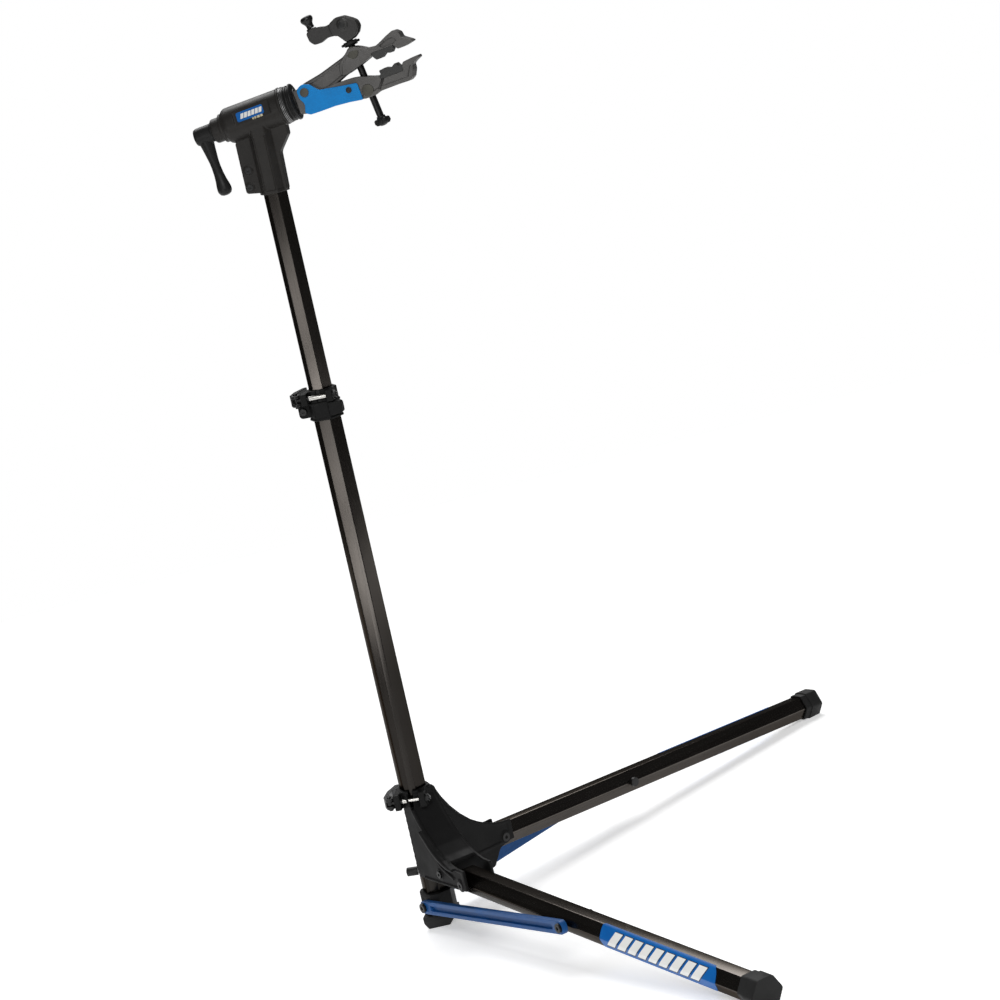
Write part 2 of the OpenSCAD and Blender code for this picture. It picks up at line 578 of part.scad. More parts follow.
module crank_lever() color([0.2, 0.2, 0.2]) difference() {
    barrel() union() {
        plate(soft([[139, 64, 6], [146, 61.6, 3], [150, 56, 3], [153.5, 50.6, 2], [164.4, 52, 4], [172.5, 57.5, 6],
            [177, 65, 8], [175.7, 73.6, 8], [170, 78.6, 8], [160, 85.4, 8], [150.7, 86, 10], [138, 80, 6]]), -12.2, 12.2);
        plate(soft([[104.4, 79, 4], [105.2, 68, 6], [110.5, 61.4, 5], [119.1, 61.2, 10], [129.3, 64.7, 14],
            [141, 63.4], [142, 81], [132, 80, 10], [124, 82.3, 10], [112, 84, 4]]), -7.5, 7.5);
    }
    barrel() translate([143.6, -5.3, 40]) cube([40, 10.6, 60]);
    screw_line() bar_y(0, 94, -20, 20, 3 + fit);
    knob_line() translate([0, 0, -11.2]) cylinder(r = 3 + fit, h = 20);
}

module crank_knob() color([0.1, 0.1, 0.1]) knob_line()
    rotate_extrude() polygon(soft([[0, -11], [3, -11, 0.5], [3, 0], [6.5, 0, 1], [5.4, 5, 3], [8.6, 9, 3], [9, 14, 3], [6, 17.4, 3], [0, 17.4]]));

// ---- lock handle ----------------------------------------------------------

module lock_handle() color([0.07, 0.07, 0.07]) barrel() {
    turned(soft([[0, -95], [12.6, -95, 3], [12.6, -67.4, 1], [8, -67.4], [8, -52, 1], [0, -52]], 4));
    translate([-82, 0, -30]) cylinder(r1 = 6.8, r2 = 8.6, h = 24);
}

module handle_grip() color([0.05, 0.05, 0.05]) barrel() translate([-82, 0, 0])
    rotate_extrude() polygon(soft([[0, -87], [6, -87, 4], [10, -80, 5], [9.2, -70, 8], [6.6, -56, 14],
        [6.4, -40, 10], [7.4, -30], [0, -30]]));
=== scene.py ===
import json
import math

import bmesh
import bpy
from mathutils import Matrix, Vector


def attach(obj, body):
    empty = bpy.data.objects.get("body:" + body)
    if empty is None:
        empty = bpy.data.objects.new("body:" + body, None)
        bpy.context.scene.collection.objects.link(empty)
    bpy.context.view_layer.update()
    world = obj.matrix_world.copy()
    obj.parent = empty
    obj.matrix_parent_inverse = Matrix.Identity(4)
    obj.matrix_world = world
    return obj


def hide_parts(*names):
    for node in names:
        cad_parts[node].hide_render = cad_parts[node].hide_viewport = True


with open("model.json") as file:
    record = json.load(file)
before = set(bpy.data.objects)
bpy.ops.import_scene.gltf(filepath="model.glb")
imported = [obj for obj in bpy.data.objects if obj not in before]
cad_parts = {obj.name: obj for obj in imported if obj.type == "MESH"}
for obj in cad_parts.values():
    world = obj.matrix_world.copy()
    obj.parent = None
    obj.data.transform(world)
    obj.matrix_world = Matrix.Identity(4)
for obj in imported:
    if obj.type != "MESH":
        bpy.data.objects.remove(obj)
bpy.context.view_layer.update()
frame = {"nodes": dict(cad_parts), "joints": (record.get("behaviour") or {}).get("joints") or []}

scene = bpy.context.scene
MM = 0.001
UP_Y = Vector((0, 1, 0))
BARREL_OFFSET = 0.05                 # from the barrel frame's origin to the turning joint, metres
LEG_PITCH = math.radians(2.1)        # a leg's fall from its pivot to its cap at rest
LABEL_LEAN = math.radians(16.3)      # the head label's tilt about the barrel
KNOB_LEAN = math.radians(-8)         # the crank knob's tilt in the barrel frame
joints = {j["name"]: j for j in frame["joints"]}
nodes = frame["nodes"]


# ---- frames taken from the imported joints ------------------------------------

def axes(x, y, z, origin):
    m = Matrix((x, y, z)).transposed().to_4x4()
    m.translation = origin
    return m


mast_up = Vector(joints["hub_slide"]["axis"])
MAST = axes(UP_Y.cross(mast_up), UP_Y, mast_up, Vector())
barrel_dir = Vector(joints["clamp_turn"]["axis"])
BARREL = axes(barrel_dir, UP_Y, barrel_dir.cross(UP_Y),
              Vector(joints["clamp_turn"]["pos_m"]) - BARREL_OFFSET * barrel_dir)
screw_dir = Vector(joints["screw_turn"]["axis"])
SCREW = axes(UP_Y.cross(screw_dir), UP_Y, screw_dir, Vector(joints["bottom_swivel_turn"]["pos_m"]))
SIDES = {"right": -1, "left": 1}
WING, LEG = {}, {}
for side in SIDES:
    y = Vector(joints[side + "_leg_fold"]["axis"])
    pivot = Vector(joints[side + "_leg_fold"]["pos_m"])
    WING[side] = axes(y.cross(mast_up), y, mast_up, Vector())
    LEG[side] = (WING[side] @ Matrix.Translation(WING[side].inverted() @ pivot)
                 @ Matrix.Rotation(LEG_PITCH, 4, "Y"))


# ---- mesh tools: drawn in millimetres in a local frame, kept in metres in the shared one ----

def corner_arc(p, q, s, r, n):
    """Points of the arc of radius r that rounds corner p between its neighbours q and s."""
    u, v = (q - p).normalized(), (s - p).normalized()
    dot = max(-0.9999, min(0.9999, u.dot(v)))
    half = math.acos(dot) / 2
    if math.pi / 2 - half < 0.01 or r <= 0:
        return [p]
    r = min(r, 0.48 * math.tan(half) * min((q - p).length, (s - p).length))
    mid = p + (u + v).normalized() * r / math.sin(half)
    a, b = p + u * r / math.tan(half) - mid, p + v * r / math.tan(half) - mid
    start = math.atan2(a.y, a.x)
    turn = math.atan2(a.x * b.y - a.y * b.x, a.dot(b))
    return [mid + r * Vector((math.cos(start + turn * k / n),
                              math.sin(start + turn * k / n))) for k in range(n + 1)]


def soft(points, radius=2.0, n=6):
    """An outline with rounded corners; a point may carry its own radius as a third value."""
    out = []
    for i, p in enumerate(points):
        q, s = points[i - 1], points[(i + 1) % len(points)]
        r = p[2] if len(p) > 2 else radius
        out += corner_arc(Vector(p[:2]), Vector(q[:2]), Vector(s[:2]), r, n)
    return out


def finish_mesh(name, bm, space, smooth=35):
    """Turns the drawn mesh into an object, sharp where faces meet at over `smooth` degrees."""
    mesh = bpy.data.meshes.new(name)
    bmesh.ops.remove_doubles(bm, verts=bm.verts, dist=1e-4)
    bmesh.ops.recalc_face_normals(bm, faces=bm.faces)
    bm.to_mesh(mesh)
    bm.free()
    mesh.transform(space @ Matrix.Scale(MM, 4))
    obj = bpy.data.objects.new(name, mesh)
    scene.collection.objects.link(obj)
    for p in mesh.polygons:
        p.use_smooth = True
    mesh.set_sharp_from_angle(angle=math.radians(smooth))
    return obj


def slab(name, outline, lo, hi, space, smooth=35):
    """An x-z outline pushed along y."""
    bm = bmesh.new()
    a = [bm.verts.new((p[0], lo, p[1])) for p in outline]
    b = [bm.verts.new((p[0], hi, p[1])) for p in outline]
    bm.faces.new(a)
    bm.faces.new(b[::-1])
    for i in range(len(a)):
        j = (i + 1) % len(a)
        bm.faces.new((a[i], b[i], b[j], a[j]))
    return finish_mesh(name, bm, space, smooth)


def column(name, outline, lo, hi, space, smooth=35):
    """An x-y outline pushed along z."""
    return slab(name, outline, lo, hi, space @ Matrix(((1, 0, 0, 0), (0, 0, 1, 0), (0, 1, 0, 0),
                                                       (0, 0, 0, 1))), smooth)


def lathe(name, profile, space, steps=64, smooth=35):
    """A [radius, height] profile turned about z."""
    bm = bmesh.new()
    rings = []
    for r, z in profile:
        if r < 1e-6:
            rings.append([bm.verts.new((0, 0, z))])
        else:
            rings.append([bm.verts.new((r * math.cos(2 * math.pi * k / steps),
                                        r * math.sin(2 * math.pi * k / steps), z))
                          for k in range(steps)])
    for a, b in zip(rings, rings[1:]):
        for k in range(steps):
            m = (k + 1) % steps
            if len(a) == 1 and len(b) == 1:
                continue
            if len(a) == 1:
                bm.faces.new((a[0], b[k], b[m]))
            elif len(b) == 1:
                bm.faces.new((a[k], b[0], a[m]))
            else:
                bm.faces.new((a[k], b[k], b[m], a[m]))
    return finish_mesh(name, bm, space, smooth)


def along_x(space, x=0.0, z=0.0):
    """A frame whose z axis lies along the given frame's x."""
    return space @ Matrix.Translation(Vector((x, 0, z)) * MM) @ Matrix.Rotation(math.pi / 2, 4, "Y")


def along_y(space, x, z, side=1):
    """A frame whose z axis points to side * y, at x, z."""
    return space @ Matrix.Translation(Vector((x, 0, z)) * MM) @ Matrix.Rotation(-side * math.pi / 2, 4, "X")


def sweep(name, path, sizes, space, n=24, power=2.6, up=Vector((0, 0, 1))):
    """A rounded bar along a path; sizes are (half width, half height) at each point."""
    bm = bmesh.new()
    rings = []
    for i, p in enumerate(path):
        p = Vector(p)
        t = (Vector(path[min(i + 1, len(path) - 1)]) - Vector(path[max(i - 1, 0)])).normalized()
        w = t.cross(up).normalized()
        h = w.cross(t).normalized()
        ring = []
        for k in range(n):
            a = 2 * math.pi * k / n
            c, s = math.cos(a), math.sin(a)
            ring.append(bm.verts.new(p + w * sizes[i][0] * math.copysign(abs(c) ** (2 / power), c)
                                     + h * sizes[i][1] * math.copysign(abs(s) ** (2 / power), s)))
        rings.append(ring)
    for a, b in zip(rings, rings[1:]):
        for k in range(n):
            m = (k + 1) % n
            bm.faces.new((a[k], b[k], b[m], a[m]))
    bm.faces.new(rings[0][::-1])
    bm.faces.new(rings[-1])
    return finish_mesh(name, bm, space, 50)


def curve(points, steps=8):
    """Catmull-Rom through points of any length of tuple."""
    pts = [points[0]] + list(points) + [points[-1]]
    out = []
    for i in range(1, len(pts) - 2):
        for k in range(steps):
            t = k / steps
            out.append(tuple(0.5 * (2 * b + (c - a) * t + (2 * a - 5 * b + 4 * c - d) * t * t
                                    + (3 * b - a - 3 * c + d) * t ** 3)
                             for a, b, c, d in zip(pts[i - 1], pts[i], pts[i + 1], pts[i + 2])))
    out.append(tuple(points[-1]))
    return out


def copy_of(node):
    """A free copy of a CAD node's mesh."""
    obj = bpy.data.objects.new(node + "_copy", nodes[node].data.copy())
    obj.data.materials.clear()
    scene.collection.objects.link(obj)
    return obj


def modify(obj, kind, **settings):
    """Adds one modifier with its settings."""
    mod = obj.modifiers.new(kind.lower(), kind)
    for key, value in settings.items():
        setattr(mod, key, value)
    return mod


def baked(obj):
    """Applies the modifiers to the object's own mesh."""
    graph = bpy.context.evaluated_depsgraph_get()
    graph.update()
    mesh = bpy.data.meshes.new_from_object(obj.evaluated_get(graph))
    obj.modifiers.clear()
    old = obj.data
    obj.data = mesh
    bpy.data.meshes.remove(old)
    return obj


def join(name, objs):
    """Moves the meshes of several objects into one new object."""
    bm = bmesh.new()
    for o in objs:
        bm.from_mesh(o.data)
    mesh = bpy.data.meshes.new(name)
    bm.to_mesh(mesh)
    bm.free()
    for o in objs:
        bpy.data.objects.remove(o)
    obj = bpy.data.objects.new(name, mesh)
    scene.collection.objects.link(obj)
    return obj


def cast(name, adds, cuts=(), voxel=0.8, rounds=4, thin=1.0, late_cuts=()):
    """Melts closed solids into one casting with soft edges and filleted joins."""
    obj = join(name, adds)
    for c in cuts:
        modify(obj, "BOOLEAN", operation="DIFFERENCE", object=c, solver="EXACT", use_self=True)
    baked(obj)
    modify(obj, "REMESH", mode="VOXEL", voxel_size=voxel * MM)
    modify(obj, "SMOOTH", factor=0.5, iterations=rounds)
    for c in late_cuts:
        modify(obj, "BOOLEAN", operation="DIFFERENCE", object=c, solver="FAST")
    modify(obj, "DECIMATE", decimate_type="COLLAPSE", ratio=thin)
    baked(obj)
    for c in list(cuts) + list(late_cuts):
        bpy.data.objects.remove(c)
    for p in obj.data.polygons:
        p.use_smooth = True
    return obj


# ---- materials --------------------------------------------------------------

class Nodes:
    """A small helper that builds one procedural material."""

    def __init__(self, name, space=None):
        self.mat = bpy.data.materials.new(name)
        self.mat.use_nodes = True
        self.tree = self.mat.node_tree
        self.tree.nodes.clear()
        self.out = self.tree.nodes.new("ShaderNodeOutputMaterial")
        self.bsdf = self.tree.nodes.new("ShaderNodeBsdfPrincipled")
        self.tree.links.new(self.bsdf.outputs[0], self.out.inputs[0])
        self.coord = self.tree.nodes.new("ShaderNodeTexCoord")
        self.point = self.coord.outputs["Object"]
        if space is not None:
            back = space.inverted()
            m = self.tree.nodes.new("ShaderNodeMapping")
            m.inputs["Rotation"].default_value = back.to_euler()
            m.inputs["Location"].default_value = back.translation
            self.tree.links.new(self.point, m.inputs[0])
            self.point = m.outputs[0]

    def set(self, **values):
        for key, value in values.items():
            self.bsdf.inputs[key.replace("_", " ")].default_value = value

    def link(self, a, b):
        self.tree.links.new(a, b)

    def stretch(self, scale, point=None):
        m = self.tree.nodes.new("ShaderNodeMapping")
        m.inputs["Scale"].default_value = scale
        self.link(point or self.point, m.inputs[0])
        return m.outputs[0]

    def noise(self, scale, detail=4.0, rough=0.55, point=None, warp=0.0):
        n = self.tree.nodes.new("ShaderNodeTexNoise")
        n.inputs["Scale"].default_value = scale
        n.inputs["Detail"].default_value = detail
        n.inputs["Roughness"].default_value = rough
        n.inputs["Distortion"].default_value = warp
        self.link(point or self.point, n.inputs["Vector"])
        return n.outputs[0]

    def ramp(self, value, stops):
        n = self.tree.nodes.new("ShaderNodeValToRGB")
        el = n.color_ramp.elements
        while len(el) < len(stops):
            el.new(0.5)
        for e, (pos, col) in zip(el, stops):
            e.position = pos
            e.color = (col, col, col, 1) if isinstance(col, (int, float)) else (*col, 1)
        self.link(value, n.inputs[0])
        return n.outputs[0]

    def math(self, op, a, b=None, clamp=False):
        n = self.tree.nodes.new("ShaderNodeMath")
        n.operation = op
        n.use_clamp = clamp
        for i, v in enumerate((a, b)):
            if v is None:
                continue
            if isinstance(v, (int, float)):
                n.inputs[i].default_value = v
            else:
                self.link(v, n.inputs[i])
        return n.outputs[0]

    def mix(self, factor, a, b):
        n = self.tree.nodes.new("ShaderNodeMix")
        n.data_type = "RGBA"
        for socket, v in ((n.inputs[0], factor), (n.inputs[6], a), (n.inputs[7], b)):
            if isinstance(v, tuple):
                socket.default_value = (*v, 1)
            elif isinstance(v, (int, float)):
                socket.default_value = v
            else:
                self.link(v, socket)
        return n.outputs[2]

    def split(self, point=None):
        n = self.tree.nodes.new("ShaderNodeSeparateXYZ")
        self.link(point or self.point, n.inputs[0])
        return n.outputs

    def edge(self, low=0.52, high=0.62):
        g = self.tree.nodes.new("ShaderNodeNewGeometry")
        return self.ramp(g.outputs["Pointiness"], [(low, 0.0), (high, 1.0)])

    def bump(self, height, strength, distance, below=None):
        n = self.tree.nodes.new("ShaderNodeBump")
        n.inputs["Strength"].default_value = strength
        n.inputs["Distance"].default_value = distance
        self.link(height, n.inputs["Height"])
        if below is not None:
            self.link(below, n.inputs["Normal"])
        return n.outputs[0]

    def color(self, socket):
        self.link(socket, self.bsdf.inputs["Base Color"])

    def rough(self, socket):
        self.link(socket, self.bsdf.inputs["Roughness"])

    def normal(self, socket):
        self.link(socket, self.bsdf.inputs["Normal"])


def anodised(name, space, along, tint, painted_shade=()):
    """Satin anodised extrusion: die lines along the tube, faint scuffs, worn corners, and optional painted
    shade that darkens it along its length.
    """
    m = Nodes(name, space)
    m.set(Metallic=1.0, Specular_Tint=(0.4, 0.39, 0.38, 1))
    lines = m.noise(900, 2, 0.5, m.stretch(tuple(0.01 if a else 1 for a in along)))
    cloud = m.noise(9, 3, 0.6)
    scuff = m.ramp(m.noise(60, 6, 0.7, m.stretch(tuple(0.15 if a else 1 for a in along)), 1.5),
                   [(0.60, 0), (0.72, 1)])
    base = m.mix(m.ramp(cloud, [(0.3, 0), (0.7, 1)]), tuple(c * 0.86 for c in tint),
                 tuple(c * 1.12 for c in tint))
    base = m.mix(m.math("MULTIPLY", scuff, 0.10), base, (0.2, 0.19, 0.18))
    base = m.mix(m.math("MULTIPLY", m.edge(0.53, 0.6), 0.12), base, (0.26, 0.25, 0.24))
    # Painted shade: the colour is pulled towards black along the frame's z, as the given ramp stops say.
    if painted_shade:
        base = m.mix(m.ramp(m.split()[2], painted_shade), base, (0, 0, 0))
    m.color(base)
    r = m.math("MULTIPLY_ADD", lines, 0.10)
    r.node.inputs[2].default_value = 0.17
    m.rough(m.math("ADD", r, m.math("MULTIPLY", scuff, 0.08)))
    m.normal(m.bump(lines, 0.2, 0.00005))
    return m.mat


def powder(name, tint, rough=0.5, grain=900, depth=0.0001, wear=0.3, worn=(0.16, 0.16, 0.16), metallic=0.0,
           shine=0.35):
    """Textured paint on a casting: orange peel, dust in the hollows, rubbed edges."""
    m = Nodes(name)
    m.set(Metallic=metallic, IOR=1.5, Specular_IOR_Level=shine)
    fine = m.noise(grain, 3, 0.6)
    cloud = m.noise(22, 4, 0.6)
    base = m.mix(m.ramp(cloud, [(0.3, 0), (0.72, 1)]), tuple(c * 0.8 for c in tint),
                 tuple(c * 1.25 for c in tint))
    base = m.mix(m.math("MULTIPLY", m.ramp(fine, [(0.5, 0), (0.68, 1)]), 0.22), base,
                 tuple(min(1, c * 1.8 + 0.006) for c in tint))
    rub = m.math("MULTIPLY", m.edge(0.53, 0.63), m.ramp(m.noise(130, 5, 0.7), [(0.35, 0), (0.62, 1)]))
    base = m.mix(m.math("MULTIPLY", rub, wear), base, worn)
    m.color(base)
    m.rough(m.ramp(m.noise(35, 4, 0.6), [(0.25, rough - 0.07), (0.75, rough + 0.09)]))
    m.normal(m.bump(fine, 0.5, depth, m.bump(cloud, 0.15, 0.0004)))
    return m.mat


def rubber(name, tint=(0.010, 0.010, 0.010)):
    """Matt rubber with a fine grain and dust."""
    m = Nodes(name)
    m.set(IOR=1.45, Specular_IOR_Level=0.3)
    fine = m.noise(1500, 3, 0.6)
    dust = m.ramp(m.noise(45, 5, 0.65), [(0.45, 0), (0.75, 1)])
    m.color(m.mix(m.math("MULTIPLY", dust, 0.25), tint, tuple(c * 2.2 + 0.006 for c in tint)))
    m.rough(m.ramp(dust, [(0, 0.62), (1, 0.82)]))
    m.normal(m.bump(fine, 0.45, 0.00008))
    return m.mat


def steel(name, tint, rough=0.22, brush=600, space=None, bright=0.0):
    """Brushed steel; with `bright`, blackened beyond that distance from the middle of its frame."""
    m = Nodes(name, space)
    m.set(Metallic=1.0)
    lines = m.noise(brush, 3, 0.5, m.stretch((1, 1, 0.06)))
    spots = m.ramp(m.noise(160, 4, 0.6), [(0.55, 0), (0.72, 1)])
    base = m.mix(m.math("MULTIPLY", spots, 0.25), tint, tuple(c * 0.55 for c in tint))
    if bright:
        base = m.mix(m.math("GREATER_THAN", m.math("ABSOLUTE", m.split()[0]), bright), base,
                     (0.03, 0.03, 0.03))
    m.color(base)
    r = m.math("MULTIPLY_ADD", lines, 0.14)
    r.node.inputs[2].default_value = rough
    m.rough(r)
    m.normal(m.bump(lines, 0.15, 0.00004))
    return m.mat


def moulded(name, tint, rough=0.34, wear=0.25):
    """Coloured satin plastic or gloss paint with faint mottling and light scratches."""
    m = Nodes(name)
    m.set(IOR=1.5, Specular_IOR_Level=0.22)
    cloud = m.noise(30, 4, 0.6)
    scratch = m.ramp(m.noise(240, 5, 0.7, m.stretch((0.1, 1, 1)), 2.0), [(0.62, 0), (0.74, 1)])
    base = m.mix(m.ramp(cloud, [(0.3, 0), (0.7, 1)]), tuple(c * 0.86 for c in tint),
                 tuple(min(1, c * 1.1) for c in tint))
    base = m.mix(m.math("MULTIPLY", scratch, 0.12), base, tuple(min(1, c * 1.5 + 0.05) for c in tint))
    base = m.mix(m.math("MULTIPLY", m.edge(0.54, 0.64), wear), base,
                 tuple(min(1, c * 1.4 + 0.06) for c in tint))
    m.color(base)
    m.rough(m.math("ADD", m.ramp(cloud, [(0.2, rough - 0.06), (0.8, rough + 0.08)]),
                   m.math("MULTIPLY", scratch, 0.15)))
    m.normal(m.bump(m.noise(700, 3, 0.5), 0.25, 0.00006))
    return m.mat


TUBE = (0.080, 0.072, 0.065)
M = {
    # The lower tube carries painted shade: 72 % towards black below 0.39 m along the mast, fading out by 0.62
    # m.
    "mast": anodised("mast_anodised", MAST, (0, 0, 1), TUBE,
                     [(0.39, 0.72), (0.47, 0.5), (0.57, 0.08), (0.62, 0)]),
    "mast_upper": anodised("upper_mast_anodised", MAST, (0, 0, 1), TUBE),
    "right_leg": anodised("right_leg_anodised", LEG["right"], (1, 0, 0), TUBE),
    "left_leg": anodised("left_leg_anodised", LEG["left"], (1, 0, 0), TUBE),
    "casting": powder("black_casting", (0.009, 0.009, 0.009), 0.5, 800, wear=0.12, worn=(0.09, 0.09, 0.09),
                      shine=0.08),
    "head": powder("head_casting_paint", (0.022, 0.0205, 0.019), 0.42, 900, wear=0.12, worn=(0.1, 0.1, 0.1),
                   shine=0.16),
    "forged": powder("grey_forging", (0.085, 0.082, 0.079), 0.42, 700, 0.00014, 0.3, (0.22, 0.22, 0.22), 0.4,
                     0.5),
    "crank": powder("dark_forging", (0.030, 0.029, 0.028), 0.36, 700, 0.0001, 0.3, (0.14, 0.14, 0.14), 0.4,
                    0.5),
    "trunnion": steel("trunnion_steel", (0.085, 0.083, 0.072), 0.42),
    "dark_steel": steel("blackened_steel", (0.035, 0.035, 0.035), 0.34),
    "ring": steel("ring_steel", (0.30, 0.30, 0.30), 0.3),
    "skewer": steel("skewer_steel", (0.6, 0.59, 0.56), 0.24, 600, MAST, 0.012),
    "rubber": rubber("black_rubber"),
    "pad": rubber("grey_pad_rubber", (0.045, 0.045, 0.044)),
    "plastic": powder("black_plastic", (0.014, 0.014, 0.014), 0.4, 1200, 0.00005, 0.1, shine=0.16),
    "lever": powder("lever_black", (0.008, 0.008, 0.008), 0.34, 1200, 0.00004, 0.1),
    "cover": moulded("blue_cover", (0.0, 0.20, 0.55), 0.42),
    "strut": moulded("strut_blue", (0.008, 0.072, 0.24), 0.42),
}

LOOK = {}
for look, names in {
    "mast": "mast_lower_tube",
    "mast_upper": "mast_upper_tube",
    "casting": "strut_anchor collar_base collar_clamp leg_hub",
    "head": "head_casting",
    "forged": "lower_jaw upper_arm upper_jaw",
    "crank": "crank_lever",
    "lever": "collar_lever hub_lever",
    "cover": "name_plate jaw_cover",
    "trunnion": "jaw_pivot_pin upper_trunnion lower_trunnion",
    "dark_steel": "anchor_bolts collar_tab_screw collar_nut hub_nut leg_pivot_bolts hub_screws "
                  "head_clamp_screws cover_rivets clamp_screw cam_pin",
    "skewer": "collar_skewer hub_skewer",
    "ring": "bright_ring",
    "rubber": "mast_foot screw_stop handle_grip",
    "pad": "lower_pad upper_pad",
    "plastic": "travel_stop collar_bushing slide_plug clamp_spindle thrust_washer crank_knob lock_handle",
}.items():
    LOOK.update({name: look for name in names.split()})
for side in SIDES:
    for part, look in (("leg_tube", side + "_leg"), ("leg_insert", "plastic"), ("leg_cap", "rubber"),
                       ("strut_nut", "dark_steel"), ("strut", "strut"), ("strut_bolt", "dark_steel")):
        LOOK[side + "_" + part] = look

# Bevel widths in millimetres, where they differ from the usual 0.5.
BEVEL = {"mast_foot": 2.0, "right_leg_cap": 1.6, "left_leg_cap": 1.6, "strut_anchor": 1.2, "collar_base": 1.0,
         "collar_clamp": 0.8, "jaw_cover": 0.9, "right_strut": 1.2, "left_strut": 1.2, "upper_pad": 0.8,
         "lower_pad": 0.8, "mast_lower_tube": 0.25, "mast_upper_tube": 0.25, "right_leg_tube": 0.3,
         "left_leg_tube": 0.3, "bright_ring": 0.2}
for name, obj in nodes.items():
    obj.data.materials.clear()
    obj.data.materials.append(M[LOOK[name]])
    modify(obj, "WELD", merge_threshold=0.00001)
    modify(obj, "BEVEL", width=BEVEL.get(name, 0.5) * MM, segments=3, limit_method="ANGLE",
           angle_limit=math.radians(28), harden_normals=False, use_clamp_overlap=True)
    modify(obj, "EDGE_SPLIT", split_angle=math.radians(40))
    for p in obj.data.polygons:
        p.use_smooth = True


def dress(obj, look, body, *gone):
    """Gives a piece its material and its body, and hides the CAD nodes it replaces."""
    obj.data.materials.clear()
    obj.data.materials.append(M[look] if isinstance(look, str) else look)
    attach(obj, body)
    if gone:
        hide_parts(*gone)
    return obj


# ---- labels on the legs and the head ----------------------------------------

def label_material(name, pitch, first, count, bar, low, high, rim, slant, fold=0.0):
    """Blue vinyl with a white abstract mark of slanted bars; its map is in millimetres."""
    m = Nodes(name)
    parts = m.split(m.coord.outputs["UV"])
    t = parts[1]
    lean = m.math("ADD", m.math("ADD", parts[0], m.math("MULTIPLY", t, -slant)), -first)
    lean = m.math("ADD", lean, m.math("MULTIPLY", m.math("ABSOLUTE", t), fold))
    cell = m.math("FLOOR", m.math("DIVIDE", lean, pitch))
    across = m.math("SUBTRACT", lean, m.math("MULTIPLY", cell, pitch))

    def within(value, a, b):
        return m.math("MULTIPLY", m.math("GREATER_THAN", value, a), m.math("LESS_THAN", value, b))

    in_cells = within(cell, -0.5, count - 0.5)
    mark = m.math("MULTIPLY", within(across, 0, bar),
                  m.math("MULTIPLY", m.math("GREATER_THAN", t, low), m.math("LESS_THAN", t, high)))
    shade = m.math("MULTIPLY", within(across, -rim * 0.4, bar + rim),
                   m.math("MULTIPLY", m.math("GREATER_THAN", t, low - rim),
                          m.math("LESS_THAN", t, high + rim * 0.5)))
    cloud = m.noise(40, 4, 0.6)
    blue = m.mix(m.ramp(cloud, [(0.3, 0), (0.7, 1)]), (0.0, 0.095, 0.36), (0.0, 0.12, 0.42))
    c = m.mix(m.math("MULTIPLY", m.math("MULTIPLY", shade, in_cells), 0.92), blue, (0.012, 0.016, 0.03))
    c = m.mix(m.math("MULTIPLY", mark, in_cells), c, m.mix(cloud, (0.76, 0.76, 0.73), (0.84, 0.84, 0.82)))
    scuff = m.ramp(m.noise(190, 5, 0.7, m.stretch((0.2, 1, 1)), 1.5), [(0.62, 0), (0.75, 1)])
    m.color(m.mix(m.math("MULTIPLY", scuff, 0.08), c, (0.35, 0.36, 0.38)))
    m.rough(m.ramp(cloud, [(0.2, 0.4), (0.8, 0.52)]))
    m.set(Specular_IOR_Level=0.25)
    m.normal(m.bump(m.noise(900, 3, 0.5), 0.15, 0.00005))
    return m.mat


def leg_label(side):
    """Vinyl wrapped over the outer side of the leg tube, with slanted rounded ends."""
    sgn = SIDES[side]
    around = [(6.5, 17.05), (8.9, 17.05), (10.4, 16.1), (18.2, 2.4), (19.25, 0.0), (18.2, -2.4),
              (10.4, -16.1), (8.9, -17.05), (4, -17.05)]
    length = [0]
    for a, b in zip(around, around[1:]):
        length.append(length[-1] + math.dist(a, b))
    mid = length[4]
    dense, n = [], 6
    for i in range(len(around) - 1):
        for k in range(n):
            f = k / n
            dense.append(((around[i][0] * (1 - f) + around[i + 1][0] * f),
                          (around[i][1] * (1 - f) + around[i + 1][1] * f),
                          length[i] * (1 - f) + length[i + 1] * f - mid))
    dense.append((*around[-1], length[-1] - mid))
    bm = bmesh.new()
    uv = bm.loops.layers.uv.new("UVMap")
    half = max(abs(d[2]) for d in dense)
    rows = []
    for y, z, s in dense:
        w = min(1.0, abs(s) / half)
        drift = (s + half) * 0.12 - 0.55 * max(0.0, s)
        left = 338 + 13 * (1 - math.sqrt(max(0.0, 1 - w ** 3))) + drift
        right_end = 590 - 13 * (1 - math.sqrt(max(0.0, 1 - w ** 3))) + drift
        rows.append([(left + (right_end - left) * k / 40, y, z, s) for k in range(41)])
    outer, inner = [], []
    for y_z in rows:
        o, i = [], []
        for x, y, z, s in y_z:
            r = math.hypot(y, z)
            o.append(bm.verts.new((x, sgn * (y + 0.25 * y / r), z + 0.25 * z / r)))
            i.append(bm.verts.new((x, sgn * (y - 0.3 * y / r), z - 0.3 * z / r)))
        outer.append(o)
        inner.append(i)
    for a in range(len(rows) - 1):
        for b in range(40):
            f = bm.faces.new((outer[a][b], outer[a][b + 1], outer[a + 1][b + 1], outer[a + 1][b]))
            for loop, (p, q) in zip(f.loops, ((a, b), (a, b + 1), (a + 1, b + 1), (a + 1, b))):
                loop[uv].uv = (rows[p][q][0] - 338, -rows[p][q][3])
            bm.faces.new((inner[a][b], inner[a + 1][b], inner[a + 1][b + 1], inner[a][b + 1]))
    for a in range(len(rows) - 1):
        for b in (0, 40):
            bm.faces.new((outer[a][b], inner[a][b], inner[a + 1][b], outer[a + 1][b]))
    for b in range(40):
        for a in (0, len(rows) - 1):
            bm.faces.new((outer[a][b], inner[a][b], inner[a][b + 1], outer[a][b + 1]))
    obj = finish_mesh(side + "_leg_label", bm, LEG[side], 30)
    return dress(obj, label_mat, side + "_leg")


label_mat = label_material("leg_label_vinyl", 23, 24, 9, 17, -10, 15, 2.2, 0.95, 0.3)
for side in SIDES:
    leg_label(side)

